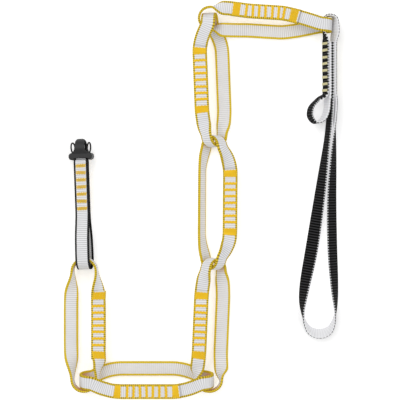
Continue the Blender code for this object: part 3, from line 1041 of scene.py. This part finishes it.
@dataclass
class ConnectorSling:
    """The connector sling: sewn layers, an eye above and a hook round a ring below.

    connector is half the eye's opening, and eye_rise is how high its middle stands over the
    keeper's collar, as a share of its radius. The collar starts a collar_gap above the stitching,
    and the tape's front end lies an end_gap below it. strand and strand_pitch are the radius and
    the distance of the strands in its bar tacks.
    """

    hook_centre: np.ndarray
    spread: float = 40.0 * MM
    stitch: float = 46.0 * MM
    heading: float = 92.0
    yaw: float = 7.0
    eye_width: float = 7.6 * MM
    eye_rise: float = 0.86
    connector: float = 4.0 * MM
    collar: float = 6.4 * MM
    collar_gap: float = 1.2 * MM
    end_gap: float = 0.1 * MM
    tacks: int = 7
    tack_pitch: float = 6.4 * MM
    tack_width: float = 8.6 * MM
    tack_length: float = 2.9 * MM
    strand: float = 0.36 * MM
    strand_pitch: float = 1.02 * MM
    zigzag: float = 0.8 * MM

    def __post_init__(self) -> None:
        """Works out the sling's axes and the heights of its parts."""
        along, right, up = heading_axes(self.heading)
        yaw = math.radians(self.yaw)
        self.side = right * math.cos(yaw) + up * math.sin(yaw)
        self.front = np.cross(self.side, along)
        self.along = along
        self.stitch_end = self.spread + self.stitch
        self.eye_radius = self.connector + SIZE.thickness / 2
        self.collar_start = self.stitch_end + self.collar_gap
        self.eye_centre = self.collar_start + self.collar + self.eye_radius * self.eye_rise

    def place(self, s: float, d: float) -> np.ndarray:
        """The point at s up the sling and d in front of its middle layer."""
        return self.hook_centre + self.along * s + self.front * d

    def route(self) -> Route:
        """The tape's way from its middle end over the eye and round the hook to its front end.

        Returns:
            The route.
        """
        step, r, b = SIZE.step, self.eye_radius, RING.bend
        down, end = self.spread, self.stitch_end
        half = down + self.stitch / 2
        neck = self.collar_start + self.collar * 0.9
        points = [(down, 0.0), (half, 0.0), (end, 0.0), (neck, 0.2 * step)]
        points += [(self.eye_centre + r * math.sin(a), r * math.cos(a) - step / 2)
                   for a in map(math.radians, (-20, 20, 55, 90, 125, 160, 200))]
        points += [(neck, -1.2 * step), (end, -step), (half, -step), (down, -step),
                   (down * 0.78, -b * 0.38), (down * 0.42, -b * 0.86)]
        points += [(-b * math.sin(a), -b * math.cos(a))
                   for a in map(math.radians, (0, 30, 60, 90, 120, 150, 180))]
        points += [(down * 0.42, b * 0.86), (down * 0.78, b * 0.45), (down, step), (half, step),
                   (self.collar_start - self.end_gap, step)]
        rows = smooth_route(points, SIZE.samples)
        centres = np.array([self.place(s, d) for s, d in rows])
        top = self.collar_start + self.collar
        sizes = [mix(SIZE.width, self.eye_width, ease((s - end) / (top - end))) for s, _ in rows]
        return Route(centres, np.tile(self.side, (len(rows), 1)), np.array(sizes))

    def face_frame(self, s: float, d: float) -> Vectors:
        """The centre, width direction and normal at a height over the middle layer."""
        return self.place(s, d), self.side, self.front

    def build(self) -> None:
        """The sling's tape and the thread on both faces of its sewn layers."""
        body = "connector_sling"
        TapeStrip(body, SLING_TAPE, -1).build(self.route())
        bars = spaced(self.tacks, self.tack_pitch, self.spread + self.stitch / 2, self.tack_length)
        face = SIZE.step + SIZE.thickness / 2
        tacks = BarTacks(body, YELLOW_THREAD, self.tack_width, self.zigzag, self.strand,
                         self.strand_pitch)
        tacks.build("front", bars, self.face_frame, face, Side.FRONT)
        tacks.build("back", bars, self.face_frame, -face, Side.BACK)


@dataclass
class RubberKeeper:
    """The moulded keeper: a collar round the tape, a hood over its eye and an ear at each side.

    Its own axes are X across the tape, Y out of the tape's back and Z up the sling, from the
    middle of the collar's lower side.
    """

    sling: ConnectorSling
    width: float = 21.5 * MM
    wall: float = 2.0 * MM
    slot_layers: float = 3.3
    end_round: float = 2.8 * MM
    face_round: float = 1.3 * MM
    hood_top: float = 8.4 * MM
    hood_flare: float = 7.0 * MM
    flare_height: float = 2.2 * MM
    hood_round: float = 2.6 * MM
    hood_wall: float = 1.3 * MM
    fit: float = 0.8 * MM
    arch: float = 1.5 * MM
    ear_radius: float = 4.6 * MM
    ear_wire: float = 0.75 * MM
    ear_offset: float = 7.2 * MM
    ear_sink: float = 0.9 * MM
    ear_splay: float = 4.0
    ear_turns: tuple[float, float] = (-12.0, 30.0)
    ear_sides: tuple[int, int] = (40, 14)
    overlap: float = 1.2 * MM
    skin: float = 0.25 * MM
    rounding_steps: int = 5

    def block(self, size: Triple, centre: Triple, end_round: float = 0.0,
              face_round: float = 0.0) -> Mesh:
        """A block, which can have rounded edges.

        Args:
            size: Its size in each direction.
            centre: Its middle.
            end_round: The radius of its four corners as seen from the front.
            face_round: The radius of the rims of its front and back.

        Returns:
            The mesh.
        """
        data = bmesh.new()
        bmesh.ops.create_cube(data, size=1.0)
        bmesh.ops.scale(data, vec=size, verts=data.verts)
        for rounding, on_face in ((end_round, False), (face_round, True)):
            edges = [e for e in data.edges if (e.verts[0].co.y * e.verts[1].co.y > 0) == on_face]
            if rounding:
                bmesh.ops.bevel(data, geom=edges, offset=rounding, segments=self.rounding_steps,
                                profile=0.5, affect="EDGES")
        bmesh.ops.translate(data, vec=centre, verts=data.verts)
        return data

    def hood(self, foot: float) -> Mesh:
        """A strip from the collar's front wall over the eye to its back wall.

        Args:
            foot: How far its feet stand from the middle of the collar.

        Returns:
            The mesh.
        """
        low = self.sling.collar - self.overlap
        height = self.sling.eye_centre - self.sling.collar_start
        radius = self.sling.eye_radius + SIZE.thickness / 2 + self.fit + self.hood_wall / 2
        turns = [math.radians(a) for a in range(-10, 191, 20)]
        path = [(foot, low)]
        path += [(radius * math.cos(a), height + radius * math.sin(a)) for a in turns]
        path.append((-foot, low))
        line = np.array([(0.0, y, z) for y, z in smooth_route(path, 4)])
        directions = np.gradient(line, axis=0)
        rows = []
        for k, centre in enumerate(line):
            out = unit(np.cross(directions[k], (1.0, 0.0, 0.0))) * self.hood_wall / 2
            size = self.hood_size(centre[2] - low, height + radius - low)
            across = np.array([size / 2, 0.0, 0.0])
            inner = across * 0.9
            rows.append([centre - across, centre - inner + out, centre + inner + out,
                         centre + across, centre + inner - out, centre - inner - out])
        data = bmesh.new()
        swept(data, rows, np.arange(len(rows)), [0.0, 0.1, 0.4, 0.5, 0.6, 0.9], 1.0)
        bmesh.ops.recalc_face_normals(data, faces=data.faces)
        return data

    def hood_size(self, rise: float, top: float) -> float:
        """The hood's width, which is flared below and rounded at its top.

        Args:
            rise: The height over the hood's foot.
            top: The height of its top over its foot.

        Returns:
            The width.
        """
        free = max(rise - self.overlap, 0.0)
        size = self.hood_top + self.hood_flare * math.exp(-free / self.flare_height)
        above = min(max(1 - (top - rise) / self.hood_round, 0.0), 1.0)
        return size - 2 * self.hood_round * (1 - math.sqrt(1 - (above * 0.94) ** 2))

    def ear(self, side: int) -> Mesh:
        """A ring of round rubber that stands on the collar and leans away from the hood.

        Args:
            side: 1 for the right ear and -1 for the left one.

        Returns:
            The mesh.
        """
        data = bmesh.new()
        around, sides = self.ear_sides
        grid = [[] for _ in range(around)]
        for k, row in enumerate(grid):
            a = 2 * math.pi * k / around
            for b in [2 * math.pi * j / sides for j in range(sides)]:
                reach = self.ear_radius + self.ear_wire * math.cos(b)
                place = (self.ear_wire * math.sin(b), reach * math.cos(a), reach * math.sin(a))
                row.append(data.verts.new(place))
        for k in range(around):
            for j in range(sides):
                data.faces.new((grid[k - 1][j - 1], grid[k - 1][j], grid[k][j], grid[k][j - 1]))
        bmesh.ops.recalc_face_normals(data, faces=data.faces)
        lean = Matrix.Rotation(math.radians(side * self.ear_splay), 4, "Y")
        lean = lean @ Matrix.Rotation(math.radians(self.ear_turns[side > 0]), 4, "Z")
        height = self.sling.collar + self.ear_radius + self.ear_wire - self.ear_sink
        place = Matrix.Translation((side * self.ear_offset, 0.0, height))
        bmesh.ops.transform(data, matrix=place @ lean, verts=data.verts)
        return data

    def build(self) -> None:
        """The keeper as one moulded piece with softened joins."""
        slot = (SIZE.width + 2 * self.fit, self.slot_layers * SIZE.step)
        depth = slot[1] + 2 * self.wall
        middle = (0.0, 0.0, self.sling.collar / 2)
        block = self.block((self.width, depth, self.sling.collar), middle, self.end_round,
                           self.face_round)
        collar = meshed("collar", block)
        arch = self.block((slot[0], depth * 2, self.arch * 2), (0.0, 0.0, 0.0), self.arch * 0.6)
        steps = [("slot", self.block((*slot, self.sling.collar * 2), middle), "DIFFERENCE"),
                 ("arch", arch, "DIFFERENCE"),
                 ("hood", self.hood(slot[1] / 2 + self.wall / 2), "UNION"),
                 ("right_ear", self.ear(1), "UNION"), ("left_ear", self.ear(-1), "UNION")]
        helpers = []
        for label, data, operation in steps:
            helpers.append(meshed(label, data))
            step = collar.modifiers.new(label, "BOOLEAN")
            step.operation = operation
            step.solver = "EXACT"
            step.object = helpers[-1]
        remesh = collar.modifiers.new("skin", "REMESH")
        remesh.mode = "VOXEL"
        remesh.voxel_size = self.skin
        smooth = collar.modifiers.new("soften", "SMOOTH")
        smooth.factor = 0.5
        smooth.iterations = 3
        bpy.context.view_layer.update()
        shape = collar.evaluated_get(bpy.context.evaluated_depsgraph_get())
        data = bmesh.new()
        data.from_mesh(shape.to_mesh())
        for used in (*helpers, collar):
            bpy.data.objects.remove(used)
        start = self.sling.place(self.sling.collar_start, -SIZE.step / 2)
        axes = np.array([self.sling.side, -self.sling.front, self.sling.along]).T
        data.transform(Matrix.Translation(Vector(start)) @ Matrix(axes.tolist()).to_4x4())
        dress("keeper", data, MouldedRubber(), "connector_sling", "rubber_keeper")


# Routes of the harness end's two loops, each as shares of its width, length and drop
EYE_ROUTE = (
    (0.11, 0.261, 0.8), (0.14, 0.56, 0.95), (0.326, 0.881, 1.0), (0.709, 1.0, 1.0),
    (1.0, 0.791, 1.0), (0.93, 0.485, 0.95), (0.57, 0.231, 0.8),
)

# The long loop's route also gives how its tape leans to the right and forwards
LONG_LOOP_ROUTE = (
    (0.159, 0.042, 0.481, 0.28, 0.0), (0.172, 0.125, 0.63, 0.0, 0.0),
    (0.134, 0.231, 0.852, -0.38, 0.0), (0.076, 0.438, 1.093, -0.86, 0.0),
    (0.097, 0.646, 1.167, -0.95, 0.0), (0.159, 0.807, 1.093, -0.62, 0.0),
    (0.186, 0.918, 1.0, -0.1, -0.15), (0.021, 0.982, 1.0, 0.1, -0.5),
    (-0.31, 1.0, 1.0, 0.0, -0.7), (-0.648, 0.98, 1.0, -0.1, -0.5),
    (-0.814, 0.913, 1.0, 0.1, -0.15), (-0.772, 0.816, 1.111, 0.75, 0.0),
    (-0.538, 0.65, 1.333, 1.45, 0.0), (-0.297, 0.438, 1.185, 0.92, 0.0),
    (-0.09, 0.231, 0.852, 0.38, 0.0), (0.007, 0.115, 0.63, 0.34, 0.0),
)


@dataclass
class HarnessLoop:
    """The harness end: a hook round the last ring, a small eye and a long loop, one tape in all.

    Four layers stand on edge side by side where they are sewn. From left to right they are the
    eye's left and right leg and the long loop's left and right leg. inset is how far the hook's
    middle lies inside the last ring's end, and neck is how far below that ring's tape the sewn
    part starts.
    """

    origin: np.ndarray
    inset: float = 2.4 * MM
    stitch: float = 45.0 * MM
    lean_angle: float = 19.0
    top_room: float = 1.6 * MM
    neck: float = 8.4 * MM
    bow: float = 5.0 * MM
    eye_width: float = 17.2 * MM
    eye_length: float = 26.8 * MM
    eye_drop: float = 2.0 * MM
    loop_width: float = 29.0 * MM
    loop_length: float = 216.8 * MM
    loop_drop: float = 5.4 * MM
    tacks: int = 8
    tack_pitch: float = 6.0 * MM

    def __post_init__(self) -> None:
        """Works out the directions across and through the sewn layers."""
        a = math.radians(self.lean_angle)
        self.lean = math.tan(a)
        self.stack = np.array([math.cos(a), 0.0, -math.sin(a)])
        self.width = np.array([math.sin(a), 0.0, math.cos(a)])

    def sewn(self, number: int, *shares: float) -> list[tuple[float, ...]]:
        """Points of sewn layer 1 to 4 at shares of its length, with the lean of its width."""
        place = self.stack * (number - 2.5) * SIZE.step
        return [(place[0], -self.stitch * s, place[2], self.lean, 0.0) for s in shares]

    def route(self) -> Route:
        """The tape's way from the eye's inner end round the eye, the hook and the long loop.

        Returns:
            The route.
        """
        lean, bow, end = self.lean, self.bow, -self.stitch
        eye = [(-x * self.eye_width, end - y * self.eye_length, -z * self.eye_drop, lean, 0.0)
               for x, y, z in EYE_ROUTE]
        long_loop = [(x * self.loop_width, end - y * self.loop_length, -z * self.loop_drop, a, b)
                     for x, y, z, a, b in LONG_LOOP_ROUTE]
        top = self.neck + SIZE.width + self.top_room + SIZE.thickness / 2
        hook = [(-bow, top * 0.36, 0.0), (-bow, top * 0.82, 0.0), (-bow * 0.7, top * 0.96, 0.0),
                (0.0, top, 0.0), (bow * 0.7, top * 0.96, 0.1), (bow, top * 0.82, 0.3),
                (bow, top * 0.36, 0.5)]
        points = [*self.sewn(2, 0.0, 0.5, 1.0), *eye, *self.sewn(1, 1.0, 0.5, 0.0)]
        points += [(x, y, 0.0, turn, 0.0) for x, y, turn in hook]
        points += [*self.sewn(4, 0.0, 0.5, 1.0), *long_loop, *self.sewn(3, 1.0, 0.5, 0.0)]
        rows = smooth_route(points, SIZE.samples)
        route = [(self.origin + row[:3], np.array([row[3], row[4], 1.0]), 0.0) for row in rows]
        return Route.squared(route, 1)

    def face_frame(self, s: float, d: float) -> Vectors:
        """The centre, width direction and normal at a height over the middle of the layers."""
        centre = self.origin + np.array([0.0, -s, 0.0]) + self.stack * d
        return centre, self.width, self.stack

    def build(self) -> None:
        """The loop's tape and the thread on the outer faces of its sewn layers."""
        body = "harness_loop"
        TapeStrip(body, HARNESS_TAPE, -1).build(self.route())
        bars = spaced(self.tacks, self.tack_pitch, self.stitch / 2, SIZE.thin_tack)
        face = 1.5 * SIZE.step + SIZE.thickness / 2
        tacks = BarTacks(body, CREAM_THREAD, SIZE.sewn_width, 0.0)
        tacks.build("left", bars, self.face_frame, -face, Side.BACK)
        tacks.build("right", bars, self.face_frame, face, Side.FRONT)


@dataclass
class Studio:
    """The pale floor, the soft lights and the camera straight above.

    sky is the strength of the even white light from all round, and each of the lamps has a name, a
    place, a size in metres and a power in watts.
    """

    view_width: float = 0.3615
    lens: float = 150.0
    sensor: float = 36.0
    centre: tuple[float, float] = (-1.1 * MM, -0.3 * MM)
    floor_size: float = 3.0
    sky: float = 0.62
    lamps: tuple[tuple[str, Triple, float, float], ...] = (
        ("key", (-0.5, 0.6, 1.4), 1.2, 9.0), ("fill", (0.8, -0.5, 1.2), 1.4, 4.0))

    def floor(self) -> None:
        """A large sheet of pale paper under the chain."""
        data = bmesh.new()
        bmesh.ops.create_grid(data, x_segments=1, y_segments=1, size=self.floor_size)
        sheet = meshed("floor", data)
        sheet.data.materials.append(PalePaper().material())

    def light(self, name: str, place: Triple, size: float, power: float) -> None:
        """A square soft light that faces the chain.

        Args:
            name: Its name.
            place: Its place.
            size: The length of its sides.
            power: Its power in watts.
        """
        lamp = bpy.data.lights.new(name, "AREA")
        lamp.size = size
        lamp.energy = power
        made = linked(name, lamp)
        made.location = place
        made.rotation_euler = (-Vector(place)).to_track_quat("-Z", "Y").to_euler()

    def camera(self) -> None:
        """The camera over the middle of the photograph's view."""
        lens = bpy.data.cameras.new("camera")
        lens.lens = self.lens
        lens.sensor_width = self.sensor
        made = linked("camera", lens)
        made.location = (*self.centre, self.view_width * self.lens / self.sensor)
        bpy.context.scene.camera = made

    def build(self) -> None:
        """The whole studio."""
        self.floor()
        for lamp in self.lamps:
            self.light(*lamp)
        world = bpy.data.worlds.new("studio_world")
        world.use_nodes = True
        background = world.node_tree.nodes["Background"]
        background.inputs["Color"].default_value = (1.0, 1.0, 1.0, 1.0)
        background.inputs["Strength"].default_value = self.sky
        bpy.context.scene.world = world
        bpy.context.scene.view_settings.view_transform = "Standard"
        self.camera()


def main() -> None:
    """Builds the whole scene."""
    logging.basicConfig(level=logging.INFO, format="%(name)s: %(message)s")
    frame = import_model()
    joints = {j["name"]: j for j in frame["record"]["behaviour"]["joints"]}
    Studio().build()
    rings = chain_of_rings(np.array(joints["ring_2_swing"]["pos_m"]))
    for ring in rings:
        ring.build()
    first, last = rings[0], rings[-1]
    sling = ConnectorSling(first.last_bend + first.along * (RING.outside + SIZE.gap))
    sling.build()
    RubberKeeper(sling).build()
    end = last.last_bend + last.along * (RING.outside - HarnessLoop.inset)
    drop = SIZE.width / 2 + HarnessLoop.neck
    HarnessLoop(np.array([end[0], end[1] - drop, first.first_bend[2]])).build()


if __name__ == "__main__":
    main()
